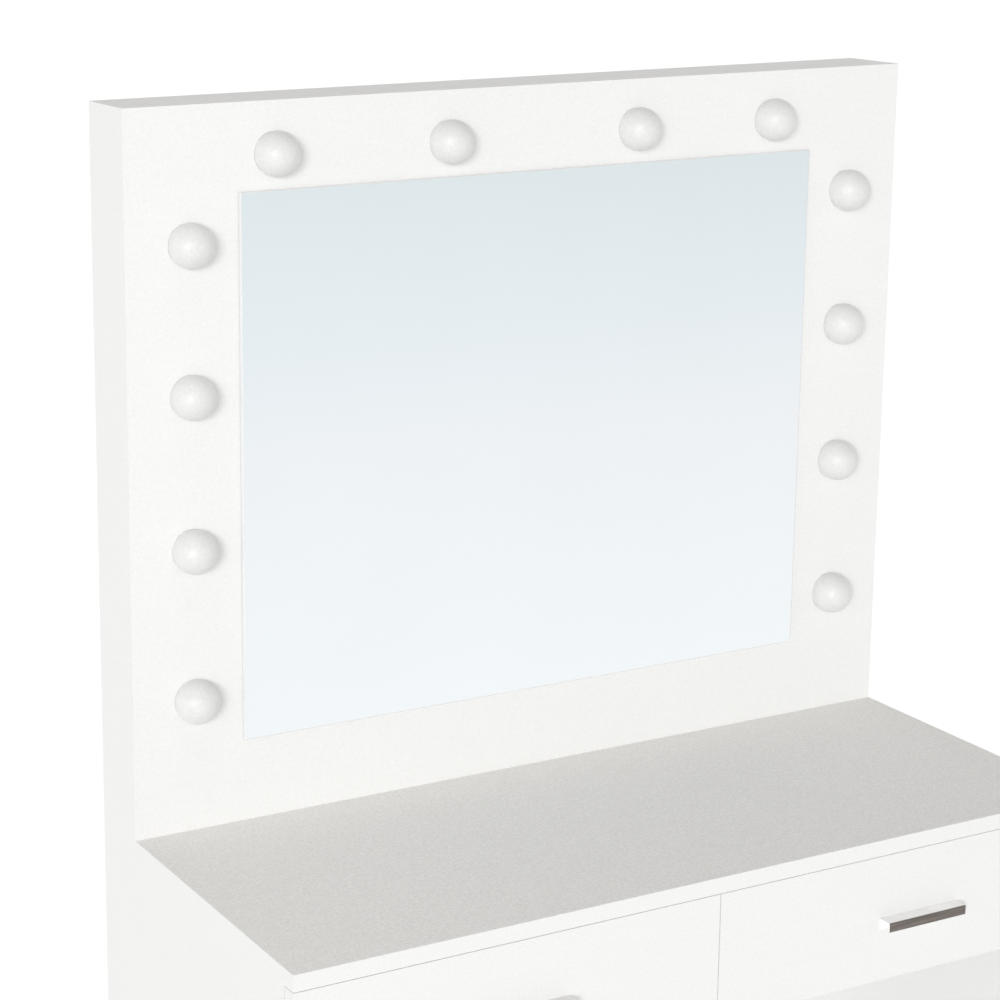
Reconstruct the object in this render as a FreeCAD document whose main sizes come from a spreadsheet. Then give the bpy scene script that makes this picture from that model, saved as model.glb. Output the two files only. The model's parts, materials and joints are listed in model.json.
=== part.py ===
import FreeCAD, Part
import os
import re

# Vanity table: a two-drawer table with a lighted mirror box standing on its rear edge.
# Millimetres, +X to the sitter's right, -Y towards the sitter, +Z up, origin at the
# centre of the outer box on the floor.

SIZES = (
    ("width", 1000.0),
    ("table_height", 760.0),
    ("table_depth", 458.5),
    ("board", 18.0),
    ("mirror_box_height", 789.0),
    ("mirror_box_depth", 86.5),
    ("panel_thickness", 16.0),
    ("backing_thickness", 5.0),
    ("backing_lap", 9.0),
    ("rear_board_height", 342.0),
    ("foot_height", 4.0),
    ("foot_radius", 8.0),
    ("foot_inset", 35.0),
    ("foot_pin_radius", 1.5),
    ("foot_pin_length", 16.0),
    ("front_height", 144.7),
    ("front_gap", 0.8),
    ("centre_gap", 1.2),
    ("buffer_gap", 1.5),
    ("buffer_height", 1.2),
    ("buffer_radius", 4.0),
    ("buffer_inset", 12.0),
    ("drawer_lift", 19.2),
    ("drawer_wall_height", 100.0),
    ("drawer_board", 12.0),
    ("drawer_rear_clearance", 21.0),
    ("drawer_floor", 4.0),
    ("drawer_groove", 6.0),
    ("drawer_floor_lift", 9.0),
    ("handle_reach", 16.5),
    ("handle_length", 106.0),
    ("handle_drop", 90.0),
    ("handle_plate", 2.5),
    ("handle_wall", 2.0),
    ("handle_lip", 10.6),
    ("handle_flange", 13.0),
    ("handle_screw_spacing", 96.0),
    ("handle_screw_radius", 2.0),
    ("left_handle_shift", 11.2),
    ("right_handle_shift", 16.1),
    ("screw_head_radius", 4.0),
    ("screw_head_height", 2.2),
    ("runner_width", 12.7),
    ("runner_height", 45.0),
    ("runner_sheet", 1.2),
    ("runner_lip", 3.5),
    ("track_gap", 3.8),
    ("ball_play", 0.1),
    ("ball_pitch", 22.0),
    ("cage_length", 100.0),
    ("cage_sheet", 0.6),
    ("cage_play", 0.2),
    ("web_overlap", 0.3),
    ("rail_screw_inset", 30.0),
    ("rail_screw_radius", 1.75),
    ("rail_screw_length", 8.0),
    ("rail_screw_head_radius", 3.0),
    ("rail_screw_head_height", 1.0),
    ("cam_bolt_radius", 3.5),
    ("cam_bolt_depth", 11.0),
    ("cam_bolt_reach", 26.5),
    ("cam_nut_radius", 7.5),
    ("cam_bite", 4.0),
    ("cam_floor", 1.0),
    ("drawer_fitting_inset", 25.0),
    ("cam_inset", 60.0),
    ("dowel_radius", 4.0),
    ("dowel_depth", 10.0),
    ("dowel_reach", 20.0),
    ("dowel_inset", 110.0),
    ("wood_screw_radius", 1.75),
    ("wood_screw_reach", 23.0),
    ("mirror_side_margin", 130.0),
    ("mirror_edge_margin", 94.0),
    ("mirror_thickness", 4.0),
    ("pad_thickness", 1.0),
    ("pad_width", 40.0),
    ("pad_inset", 60.0),
    ("bulb_radius", 24.3),
    ("bulb_sink", 16.2),
    ("bulb_wall", 1.2),
    ("bulb_hole_clearance", 0.25),
    ("neck_radius", 13.5),
    ("neck_reach", 5.0),
    ("cap_radius", 13.0),
    ("cap_length", 22.0),
    ("contact_radius", 5.0),
    ("contact_length", 3.0),
    ("column_inset", 72.0),
    ("column_low_margin", 148.5),
    ("column_high_margin", 145.1),
    ("lower_middle_raise", 2.3),
    ("upper_middle_raise", 4.4),
    ("row_drop", 55.7),
    ("row_left_margin", 172.0),
    ("row_right_margin", 184.3),
    ("row_left_offset", 117.0),
    ("row_right_offset", 127.7),
    ("holder_flange_radius", 32.0),
    ("holder_flange", 3.0),
    ("holder_radius", 18.0),
    ("holder_depth", 38.0),
    ("socket_play", 0.2),
    ("holder_screw_offset", 27.5),
    ("flex_radius", 3.0),
    ("flex_bend", 40.0),
    ("flex_depth", 20.0),
    ("terminal_width", 60.0),
    ("terminal_depth", 30.0),
    ("terminal_height", 30.0),
    ("terminal_set_back", 8.0),
    ("gland_radius", 7.0),
    ("gland_flange_radius", 10.0),
    ("gland_flange", 2.0),
    ("gland_bore", 3.5),
    ("box_bolt_radius", 3.0),
    ("box_bolt_depth", 12.0),
    ("box_bolt_head_radius", 6.5),
    ("box_bolt_head_height", 3.5),
    ("box_bolt_inset", 70.0),
    ("box_bolt_inner", 160.0),
    ("backing_screw_length", 14.0),
    ("backing_screw_inset", 60.0),
)

LEFT = -1
RIGHT = 1
HANDS = (("left", LEFT), ("right", RIGHT))
WALLS = ("outer", "inner")
ENDS = ("lower", "upper")
BALLS_PER_TRACK = 4

ALONG_X = FreeCAD.Rotation(FreeCAD.Vector(0, 1, 0), 90)
ALONG_Y = FreeCAD.Rotation(FreeCAD.Vector(1, 0, 0), -90)
ALONG_Z = FreeCAD.Rotation()

# Faces that several pieces share, written in the sheet's own names.
FRONT = "(handle_reach - table_depth) / 2"
BACK = "(handle_reach + table_depth) / 2"
CARCASS_FRONT = f"({FRONT} + board + buffer_gap)"
REAR_BOARD_FRONT = f"({BACK} - board)"
FACE = f"({BACK} - mirror_box_depth)"
PANEL_REAR = f"({FACE} + panel_thickness)"
BACKING_FRONT = f"({BACK} - backing_thickness)"
SIDE_INSIDE = "(width / 2 - board)"
TOP_UNDERSIDE = "(table_height - board)"
FRONT_TOP = f"({TOP_UNDERSIDE} - front_gap)"
FRONT_BOTTOM = f"({FRONT_TOP} - front_height)"
DRAWER_BASE = f"({FRONT_BOTTOM} + drawer_lift)"
DRAWER_REAR = f"({REAR_BOARD_FRONT} - drawer_rear_clearance)"
DRAWER_FRONT = f"({FRONT} + board)"
RUNNER_LEVEL = f"({DRAWER_BASE} + drawer_wall_height / 2)"
OUTER_FACE = f"({SIDE_INSIDE} - runner_width)"
INNER_FACE = "(board / 2 + runner_width)"
BOX_TOP = "(table_height + mirror_box_height)"
BOX_CEILING = f"({BOX_TOP} - board)"
BULB_PROUD = "(bulb_radius - bulb_sink)"
BULB_CENTRE = f"({FACE} - {BULB_PROUD})"
BULB_OPENING = f"((bulb_radius ^ 2 - {BULB_PROUD} ^ 2) ^ 0.5 + bulb_hole_clearance)"
NECK_END = f"({PANEL_REAR} + neck_reach)"
CAP_END = f"({NECK_END} + cap_length)"
FLEX_LEVEL = f"({PANEL_REAR} + flex_depth)"
COLUMN = "(width / 2 - column_inset)"
COLUMN_PITCH = "((mirror_box_height - column_low_margin - column_high_margin) / 3)"
LOWEST_LAMP = "(table_height + column_low_margin)"
HIGHEST_LAMP = f"({BOX_TOP} - column_high_margin)"
ROW = f"({BOX_TOP} - row_drop)"
COLUMN_LEVELS = (
    LOWEST_LAMP,
    f"({LOWEST_LAMP} + {COLUMN_PITCH} + lower_middle_raise)",
    f"({LOWEST_LAMP} + 2 * {COLUMN_PITCH} + upper_middle_raise)",
    HIGHEST_LAMP,
)
ROW_PLACES = (
    "(row_left_margin - width / 2)",
    "(-row_left_offset)",
    "(row_right_offset)",
    "(width / 2 - row_right_margin)",
)
MIRROR_HALF = "(width / 2 - mirror_side_margin)"
MIRROR_LOW = "(table_height + mirror_edge_margin)"
MIRROR_HIGH = f"({BOX_TOP} - mirror_edge_margin)"
TERMINAL_LEVEL = "(table_height + board + terminal_height / 2)"
TOP_BOLT = (f"{TOP_UNDERSIDE} - cam_bolt_reach", f"{TOP_UNDERSIDE} + cam_bolt_depth")
NUT_REACH = "(cam_bolt_reach + cam_nut_radius - cam_bite)"
NUT_DEPTH = "(board / 2 + cam_bolt_radius + cam_floor)"
DRAWER_NUT_DEPTH = "(drawer_board / 2 + cam_bolt_radius + cam_floor)"
TOP_NUT = f"{TOP_UNDERSIDE} - {NUT_REACH}"
TOP_DOWEL = (f"{TOP_UNDERSIDE} - dowel_reach", f"{TOP_UNDERSIDE} + dowel_depth")
RUNNER_RUN = (f"{CARCASS_FRONT}", DRAWER_REAR)
CAGE_FRONT = f"(({CARCASS_FRONT} + {DRAWER_REAR}) / 2)"
CAGE_RUN = (CAGE_FRONT, f"{CAGE_FRONT} + cage_length")
BALL = "(track_gap / 2 - ball_play)"
CABINET_HALF = "(runner_height / 2)"
MIDDLE_HALF = f"({CABINET_HALF} - runner_sheet - track_gap)"
DRAWER_HALF = f"({MIDDLE_HALF} - runner_sheet - track_gap)"
MIDDLE_WEB = f"(runner_lip + 2 * {BALL} - web_overlap)"
MIDDLE_FAR = "(runner_width - 2 * runner_sheet)"

doc = FreeCAD.newDocument("vanity_table")
nodes = []
cutters = {}
dowels = []
wood_screws = []
cabinet_rails = []


def make_sheet():
    """The spreadsheet that holds every driving size."""
    sheet = doc.addObject("Spreadsheet::Sheet", "Sizes")
    for row, (name, value) in enumerate(SIZES, 1):
        sheet.set(f"A{row}", name)
        sheet.set(f"B{row}", str(value))
        sheet.setAlias(f"B{row}", name)


def sized(text):
    """The expression with each word read from the sheet."""
    return re.sub(r"[a-z][a-z_]*", lambda word: "Sizes." + word.group(0), str(text))


def put(solid, places):
    """Bind a solid's position to three expressions."""
    for axis, place in zip("xyz", places):
        solid.setExpression(f"Placement.Base.{axis}", sized(place))


def block(name, x, y, z):
    """A box between three pairs of expressions."""
    solid = doc.addObject("Part::Box", name)
    for side, (low, high) in zip(("Length", "Width", "Height"), (x, y, z)):
        solid.setExpression(side, sized(f"({high}) - ({low})"))
    put(solid, [low for low, _ in (x, y, z)])
    return solid


def rod(name, x, y, z, radius):
    """A cylinder along the axis whose place is a pair of expressions."""
    solid = doc.addObject("Part::Cylinder", name)
    start = []
    for place, turn in zip((x, y, z), (ALONG_X, ALONG_Y, ALONG_Z)):
        if isinstance(place, tuple):
            low, high = place
            solid.Placement = FreeCAD.Placement(FreeCAD.Vector(), turn)
            solid.setExpression("Height", sized(f"({high}) - ({low})"))
            start.append(low)
        else:
            start.append(place)
    solid.setExpression("Radius", sized(radius))
    put(solid, start)
    return solid


def ball(name, x, y, z, radius):
    """A sphere."""
    solid = doc.addObject("Part::Sphere", name)
    solid.setExpression("Radius", sized(radius))
    put(solid, (x, y, z))
    return solid


def joined(name, solids):
    """Touching solids made one."""
    whole = doc.addObject("Part::MultiFuse", name)
    whole.Shapes = solids
    return whole


def grouped(name, solids):
    """Separate solids that share one node."""
    whole = doc.addObject("Part::Compound", name)
    whole.Links = solids
    return whole


def without(name, solid, tools):
    """A solid with other solids taken out of it."""
    rest = doc.addObject("Part::Cut", name)
    rest.Base = solid
    rest.Tool = tools[0] if len(tools) == 1 else grouped(name + "_tools", tools)
    return rest


def node(name, solid):
    """Keep a finished piece under its own name."""
    solid.Label = name
    nodes.append(solid)


def drill(board, cutter):
    """Remember a hole or groove to cut in a board."""
    cutters.setdefault(board, []).append(cutter)


def board_node(name, x, y, z):
    """A board, cut by every hole and groove remembered for it."""
    blank = block(name + "_blank", x, y, z)
    node(name, without(name + "_cut", blank, cutters[name]) if name in cutters else blank)


def mirrored(side, low, high):
    """A span across X on the right, or the same span on the left."""
    if side == RIGHT:
        return (low, high)
    return (f"-({high})", f"-({low})")


def pin(name, board_a, board_b, x, y, z, radius):
    """A pin across the joint of two boards, with its hole in both."""
    solid = rod(name, x, y, z, radius)
    drill(board_a, rod(name + "_hole_a", x, y, z, radius))
    drill(board_b, rod(name + "_hole_b", x, y, z, radius))
    return solid


def cam_fitting(name, bolt_board, nut_board, bolt_place, nut_place):
    """A bolt screwed into one board's face, its head held in a disc let into another board."""
    bolt = pin(name + "_cam_bolt", bolt_board, nut_board, *bolt_place, "cam_bolt_radius")
    drill(nut_board, rod(name + "_cam_seat", *nut_place, "cam_nut_radius"))
    disc = rod(name + "_cam_disc", *nut_place, "cam_nut_radius")
    window = rod(name + "_cam_window", *bolt_place, "cam_bolt_radius")
    return [bolt, without(name + "_cam_nut", disc, [window])]


def dowel(name, board_a, board_b, x, y, z):
    """A wooden dowel glued half in each of two boards."""
    dowels.append(pin(name + "_dowel", board_a, board_b, x, y, z, "dowel_radius"))


def wood_screw(name, board_a, board_b, x, y, z):
    """A screw through one board into the next, its head flush."""
    return pin(name + "_screw", board_a, board_b, x, y, z, "wood_screw_radius")


def side_fittings(hand, side):
    """Cam fittings and dowels from one side panel up into the top and across into the rear board."""
    cams = []
    panel = hand + "_side_panel"
    middle = f"{side} * (width / 2 - board / 2)"
    nut_span = mirrored(side, SIDE_INSIDE, f"{SIDE_INSIDE} + {NUT_DEPTH}")
    for end, place in (("front", f"{CARCASS_FRONT} + cam_inset"), ("rear", f"{BACK} - cam_inset")):
        bolt = (middle, place, TOP_BOLT)
        cams.extend(cam_fitting(f"{hand}_{end}_top", "table_top", panel, bolt, (nut_span, place, TOP_NUT)))
    for end, place in (("front", f"{CARCASS_FRONT} + dowel_inset"), ("rear", f"{BACK} - dowel_inset")):
        dowel(f"{hand}_{end}_top", "table_top", panel, middle, place, TOP_DOWEL)
    span = mirrored(side, f"{SIDE_INSIDE} - cam_bolt_reach", f"{SIDE_INSIDE} + cam_bolt_depth")
    nut_middle = f"{side} * ({SIDE_INSIDE} - {NUT_REACH})"
    depth = (f"{BACK} - {NUT_DEPTH}", BACK)
    levels = (f"{TOP_UNDERSIDE} - rear_board_height + cam_inset", f"{TOP_UNDERSIDE} - 2 * cam_inset")
    for end, level in zip(ENDS, levels):
        bolt = (span, f"{BACK} - board / 2", level)
        nut = (nut_middle, depth, level)
        cams.extend(cam_fitting(f"{hand}_{end}_rear", panel, "rear_board", bolt, nut))
    return cams


def divider_fittings():
    """Cam fittings from the divider up into the top, and dowels back into the rear board."""
    cams = []
    span = ("-board / 2", f"{NUT_DEPTH} - board / 2")
    places = (f"{CARCASS_FRONT} + cam_inset", f"{REAR_BOARD_FRONT} - cam_inset")
    for end, place in zip(("front", "rear"), places):
        bolt = ("0", place, TOP_BOLT)
        nut = (span, place, TOP_NUT)
        cams.extend(cam_fitting(f"divider_{end}", "table_top", "centre_divider", bolt, nut))
    depth = (f"{REAR_BOARD_FRONT} - dowel_reach", f"{REAR_BOARD_FRONT} + dowel_depth")
    levels = (f"{FRONT_BOTTOM} + dowel_reach", f"{TOP_UNDERSIDE} - cam_inset")
    for end, level in zip(ENDS, levels):
        dowel(f"divider_{end}", "centre_divider", "rear_board", "0", depth, level)
    return cams


def carcass_fittings():
    """Everything that holds the table's boards together."""
    cams = divider_fittings()
    for hand, side in HANDS:
        cams.extend(side_fittings(hand, side))
    node("cam_fittings", grouped("cam_fittings_all", cams))


def panel_dowels():
    """Dowels from the lighted panel into the boards behind it."""
    span = (f"{PANEL_REAR} - dowel_depth", f"{PANEL_REAR} + dowel_reach")
    for hand, side in HANDS:
        middle = f"{side} * (width / 2 - board / 2)"
        for end, level in zip(ENDS, ("table_height + dowel_inset", f"{BOX_TOP} - dowel_inset")):
            dowel(f"{hand}_{end}_panel", "lighted_panel", f"mirror_box_{hand}_side", middle, span, level)
        place = f"{side} * box_bolt_inner"
        dowel(hand + "_roof", "lighted_panel", "mirror_box_roof", place, span, f"{BOX_TOP} - board / 2")


def backing_screws():
    """Screws round the edge of the backing."""
    reach = (f"{BACK} - backing_screw_length", BACK)
    ends = zip(ENDS, ("table_height + backing_screw_inset", f"{BOX_TOP} - backing_screw_inset"))
    levels = tuple(ends)
    boards = (("floor", "table_height + board / 2"), ("roof", f"{BOX_CEILING} + backing_lap / 2"))
    for hand, side in HANDS:
        box_side = f"mirror_box_{hand}_side"
        edge = f"{side} * (width / 2 - board + backing_lap / 2)"
        place = f"{side} * (width / 2 - row_left_margin)"
        for end, level in levels:
            name = f"{box_side}_{end}"
            wood_screws.append(wood_screw(name, "mirror_box_backing", box_side, edge, reach, level))
        for board, level in boards:
            name = f"mirror_box_{board}"
            wood_screws.append(wood_screw(f"{name}_{hand}", "mirror_box_backing", name, place, reach, level))


def box_bolts():
    """Bolts up through the table top into the floor of the mirror box."""
    bolts = []
    middle = f"{BACK} - (mirror_box_depth - panel_thickness) / 2"
    shank = (TOP_UNDERSIDE, "table_height + box_bolt_depth")
    head = (f"{TOP_UNDERSIDE} - box_bolt_head_height", TOP_UNDERSIDE)
    for hand, side in HANDS:
        for ring, place in (("outer", "(width / 2 - box_bolt_inset)"), ("inner", "box_bolt_inner")):
            name = f"{hand}_{ring}_box_bolt"
            x = f"{side} * {place}"
            stem = pin(name + "_shank", "table_top", "mirror_box_floor", x, middle, shank, "box_bolt_radius")
            bolts.append(joined(name, [stem, rod(name + "_head", x, middle, head, "box_bolt_head_radius")]))
    node("mirror_box_bolts", grouped("mirror_box_bolts_all", bolts))


def table_boards():
    """The table's top, sides, divider and rear board."""
    width_span = ("-width / 2", "width / 2")
    board_node("table_top", width_span, (FRONT, BACK), (TOP_UNDERSIDE, "table_height"))
    for hand, side in HANDS:
        span = mirrored(side, SIDE_INSIDE, "width / 2")
        board_node(hand + "_side_panel", span, (CARCASS_FRONT, BACK), ("foot_height", TOP_UNDERSIDE))
    half = ("-board / 2", "board / 2")
    board_node("centre_divider", half, (CARCASS_FRONT, REAR_BOARD_FRONT), (FRONT_BOTTOM, TOP_UNDERSIDE))
    inside = (f"-{SIDE_INSIDE}", SIDE_INSIDE)
    rear_span = (f"{TOP_UNDERSIDE} - rear_board_height", TOP_UNDERSIDE)
    board_node("rear_board", inside, (REAR_BOARD_FRONT, BACK), rear_span)


def feet():
    """Plastic glides, each with a pin driven up into a side panel."""
    glides = []
    for hand, side in HANDS:
        x = f"{side} * (width / 2 - board / 2)"
        for end, y in (("front", f"{CARCASS_FRONT} + foot_inset"), ("rear", f"{BACK} - foot_inset")):
            name = f"{hand}_{end}_glide"
            spike = ("foot_height", "foot_height + foot_pin_length")
            drill(hand + "_side_panel", rod(name + "_hole", x, y, spike, "foot_pin_radius"))
            disc = rod(name + "_disc", x, y, ("0", "foot_height"), "foot_radius")
            glides.append(joined(name, [disc, rod(name + "_pin", x, y, spike, "foot_pin_radius")]))
    node("feet", grouped("feet_all", glides))


def runner_span(side, wall, low, high):
    """A span of a runner, counted from the drawer's side out to the cabinet."""
    if wall == "outer":
        return mirrored(side, f"{OUTER_FACE} + {low}", f"{OUTER_FACE} + {high}")
    return mirrored(side, f"{INNER_FACE} - ({high})", f"{INNER_FACE} - ({low})")


def level_span(half):
    """A span up and down from the middle of the runners."""
    return (f"{RUNNER_LEVEL} - ({half})", f"{RUNNER_LEVEL} + ({half})")


def cabinet_rail(name, side, wall):
    """The channel screwed to the cabinet, open towards the drawer."""
    whole = block(name + "_whole", runner_span(side, wall, "runner_lip", "runner_width"), RUNNER_RUN,
                  level_span(CABINET_HALF))
    hollow = block(name + "_hollow", runner_span(side, wall, "runner_lip", "runner_width - runner_sheet"),
                   RUNNER_RUN, level_span(f"{CABINET_HALF} - runner_sheet"))
    return without(name, whole, [hollow] + rail_screw_holes(name, side, wall, "cabinet"))


def middle_rail(name, side, wall):
    """The H-shaped member that carries a row of balls on each side of its web."""
    whole = block(name + "_whole", runner_span(side, wall, "runner_lip", MIDDLE_FAR), RUNNER_RUN,
                  level_span(MIDDLE_HALF))
    inner = level_span(f"{MIDDLE_HALF} - runner_sheet")
    near = block(name + "_near", runner_span(side, wall, "runner_lip", MIDDLE_WEB), RUNNER_RUN, inner)
    far_span = runner_span(side, wall, f"{MIDDLE_WEB} + runner_sheet", MIDDLE_FAR)
    far = block(name + "_far", far_span, RUNNER_RUN, inner)
    return without(name, whole, [near, far])


def drawer_rail(name, side, wall):
    """The channel screwed to the drawer, open towards the cabinet."""
    depth = f"{MIDDLE_WEB} - cage_sheet - 2 * cage_play"
    whole = block(name + "_whole", runner_span(side, wall, "0", depth), RUNNER_RUN, level_span(DRAWER_HALF))
    hollow = block(name + "_hollow", runner_span(side, wall, "runner_sheet", depth), RUNNER_RUN,
                   level_span(f"{DRAWER_HALF} - runner_sheet"))
    return without(name, whole, [hollow] + rail_screw_holes(name, side, wall, "drawer"))


def rail_screw_places():
    """How far back the screws of a rail sit."""
    front, rear = RUNNER_RUN
    return (("front", f"{front} + rail_screw_inset"), ("rear", f"{rear} - rail_screw_inset"))


def rail_screw_holes(name, side, wall, member):
    """Holes through a rail's web."""
    web = ("runner_width - runner_sheet", "runner_width") if member == "cabinet" else ("0", "runner_sheet")
    span = runner_span(side, wall, *web)
    return [rod(f"{name}_{end}_hole", span, place, RUNNER_LEVEL, "rail_screw_radius")
            for end, place in rail_screw_places()]


def rail_screws(name, side, wall, member, board):
    """Screws through a rail's web into the board behind it."""
    if member == "cabinet":
        shank = ("runner_width - runner_sheet", "runner_width + rail_screw_length")
        head = ("runner_width - runner_sheet - rail_screw_head_height", "runner_width - runner_sheet")
    else:
        shank = ("-rail_screw_length", "runner_sheet")
        head = ("runner_sheet", "runner_sheet + rail_screw_head_height")
    screws = []
    for end, place in rail_screw_places():
        label = f"{name}_{end}"
        span = runner_span(side, wall, *shank)
        stem = rod(label + "_shank", span, place, RUNNER_LEVEL, "rail_screw_radius")
        head_span = runner_span(side, wall, *head)
        cap = rod(label + "_head", head_span, place, RUNNER_LEVEL, "rail_screw_head_radius")
        drill(board, rod(label + "_hole", span, place, RUNNER_LEVEL, "rail_screw_radius"))
        screws.append(joined(label, [stem, cap]))
    return screws


def ball_cage(name, side, wall, middle, web, half):
    """A bent strip with a row of balls above and below, free to roll between two rails."""
    low, high = web
    strip = runner_span(side, wall, f"{middle} - {BALL}", high)
    upper = f"({RUNNER_LEVEL} + {half} + track_gap / 2)"
    lower = f"({RUNNER_LEVEL} - {half} - track_gap / 2)"
    solids = [block(name + "_web", runner_span(side, wall, low, high), CAGE_RUN,
                    (f"{lower} - cage_sheet / 2", f"{upper} + cage_sheet / 2"))]
    for end, level in zip(ENDS, (lower, upper)):
        solids.append(block(f"{name}_{end}_strip", strip, CAGE_RUN,
                            (f"{level} - cage_sheet / 2", f"{level} + cage_sheet / 2")))
        for turn in range(BALLS_PER_TRACK):
            place = f"{CAGE_FRONT} + cage_length / 2 + ball_pitch * ({turn} - {(BALLS_PER_TRACK - 1) / 2})"
            centre, _ = runner_span(side, wall, middle, middle)
            solids.append(ball(f"{name}_{end}_ball_{turn}", centre, place, level, BALL))
    return joined(name, solids)


def runners(hand, side):
    """The pair of three-part ball-bearing runners of one drawer."""
    middle = []
    drawer = []
    outer_cages = []
    inner_cages = []
    fixings = []
    outer_balls = f"runner_width - runner_sheet - {BALL} - 2 * cage_play"
    outer_web = ("runner_width - runner_sheet - cage_sheet - cage_play",
                 "runner_width - runner_sheet - cage_play")
    inner_balls = f"{MIDDLE_WEB} - {BALL} - cage_play"
    inner_web = (f"{MIDDLE_WEB} - cage_sheet - cage_play", f"{MIDDLE_WEB} - cage_play")
    for wall in WALLS:
        name = f"{hand}_{wall}"
        board = hand + "_side_panel" if wall == "outer" else "centre_divider"
        cabinet_rails.append(cabinet_rail(name + "_cabinet_rail", side, wall))
        middle.append(middle_rail(name + "_middle_rail", side, wall))
        drawer.append(drawer_rail(name + "_drawer_rail", side, wall))
        outer_cages.append(ball_cage(name + "_outer_cage", side, wall, outer_balls, outer_web, MIDDLE_HALF))
        inner_cages.append(ball_cage(name + "_inner_cage", side, wall, inner_balls, inner_web, DRAWER_HALF))
        wood_screws.extend(rail_screws(name + "_cabinet_screw", side, wall, "cabinet", board))
        fixings.extend(rail_screws(name + "_drawer_screw", side, wall, "drawer", drawer_side(hand, wall)))
    node(hand + "_middle_rails", grouped(hand + "_middle_rails_all", middle))
    node(hand + "_drawer_rails", grouped(hand + "_drawer_rails_all", drawer))
    node(hand + "_outer_ball_cages", grouped(hand + "_outer_ball_cages_all", outer_cages))
    node(hand + "_inner_ball_cages", grouped(hand + "_inner_ball_cages_all", inner_cages))
    return fixings


def drawer_side(hand, wall):
    """The name of a drawer's side board on the outer or the inner side."""
    other = "left" if hand == "right" else "right"
    return f"{hand}_drawer_{hand if wall == 'outer' else other}_side"


def handle(hand, side):
    """A short lip pull: a folded channel open below, screwed on from inside the drawer."""
    middle = f"({side} * (width / 2 + centre_gap / 2) / 2 + {hand}_handle_shift)"
    span = (f"{middle} - handle_length / 2", f"{middle} + handle_length / 2")
    top = "(table_height - handle_drop)"
    outer = f"({FRONT} - handle_reach)"
    plate = block(hand + "_handle_plate", span, (outer, FRONT), (f"{top} - handle_plate", top))
    lip = block(hand + "_handle_lip", span, (outer, f"{outer} + handle_wall"), (f"{top} - handle_lip", top))
    against = (f"{FRONT} - handle_wall", FRONT)
    flange = block(hand + "_handle_flange", span, against, (f"{top} - handle_flange", top))
    level = f"{top} - (handle_plate + handle_flange) / 2"
    shank = (f"{FRONT} - handle_wall / 2", DRAWER_FRONT)
    head = (DRAWER_FRONT, f"{DRAWER_FRONT} + screw_head_height")
    holes = []
    screws = []
    for end, sign in (("near", LEFT), ("far", RIGHT)):
        name = f"{hand}_handle_{end}_screw"
        x = f"{middle} + {sign} * handle_screw_spacing / 2"
        holes.append(rod(name + "_tapping", x, shank, level, "handle_screw_radius"))
        drill(hand + "_drawer_front", rod(name + "_hole", x, shank, level, "handle_screw_radius"))
        stem = rod(name + "_shank", x, shank, level, "handle_screw_radius")
        screws.append(joined(name, [stem, rod(name + "_head", x, head, level, "screw_head_radius")]))
    fold = joined(hand + "_handle_fold", [plate, lip, flange])
    node(hand + "_handle", without(hand + "_handle_cut", fold, holes))
    return screws


def drawer_side_places(side, wall):
    """Where a drawer's side board, its cam nuts and its rear screws lie across the drawer."""
    if wall == "outer":
        inside = f"{OUTER_FACE} - drawer_board"
        middle = f"{side} * ({OUTER_FACE} - drawer_board / 2)"
        nut = mirrored(side, inside, f"{inside} + {DRAWER_NUT_DEPTH}")
        screw = mirrored(side, f"{inside} - wood_screw_reach", OUTER_FACE)
    else:
        inside = f"{INNER_FACE} + drawer_board"
        middle = f"{side} * ({INNER_FACE} + drawer_board / 2)"
        nut = mirrored(side, f"{inside} - {DRAWER_NUT_DEPTH}", inside)
        screw = mirrored(side, INNER_FACE, f"{inside} + wood_screw_reach")
    return middle, nut, screw


def drawer_fittings(hand, side):
    """Cam fittings behind the front and screws through the sides into the back."""
    solids = []
    bolt = (f"{DRAWER_FRONT} - cam_bolt_depth", f"{DRAWER_FRONT} + cam_bolt_reach")
    nut_place = f"{DRAWER_FRONT} + {NUT_REACH}"
    rear = f"{DRAWER_REAR} - drawer_board / 2"
    low = f"{DRAWER_BASE} + drawer_fitting_inset"
    high = f"{DRAWER_BASE} + drawer_wall_height - drawer_fitting_inset"
    for wall in WALLS:
        board = drawer_side(hand, wall)
        middle, nut, screw = drawer_side_places(side, wall)
        for end, level in zip(ENDS, (low, high)):
            name = f"{hand}_{wall}_{end}"
            bolt_place = (middle, bolt, level)
            nut_spot = (nut, nut_place, level)
            solids.extend(cam_fitting(name, hand + "_drawer_front", board, bolt_place, nut_spot))
            solids.append(wood_screw(name, board, hand + "_drawer_back", screw, rear, level))
    return solids


def buffers(hand, side):
    """Soft discs behind the drawer front that meet the cabinet's edges."""
    discs = []
    places = (f"{side} * (width / 2 - board / 2)", f"{side} * (centre_gap / 2 + buffer_radius)")
    levels = (f"{FRONT_BOTTOM} + buffer_inset", f"{FRONT_TOP} - buffer_inset")
    span = (DRAWER_FRONT, f"{DRAWER_FRONT} + buffer_height")
    for wall, place in zip(WALLS, places):
        for end, level in zip(ENDS, levels):
            discs.append(rod(f"{hand}_{wall}_{end}_buffer", place, span, level, "buffer_radius"))
    node(hand + "_drawer_buffers", grouped(hand + "_drawer_buffers_all", discs))


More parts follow.
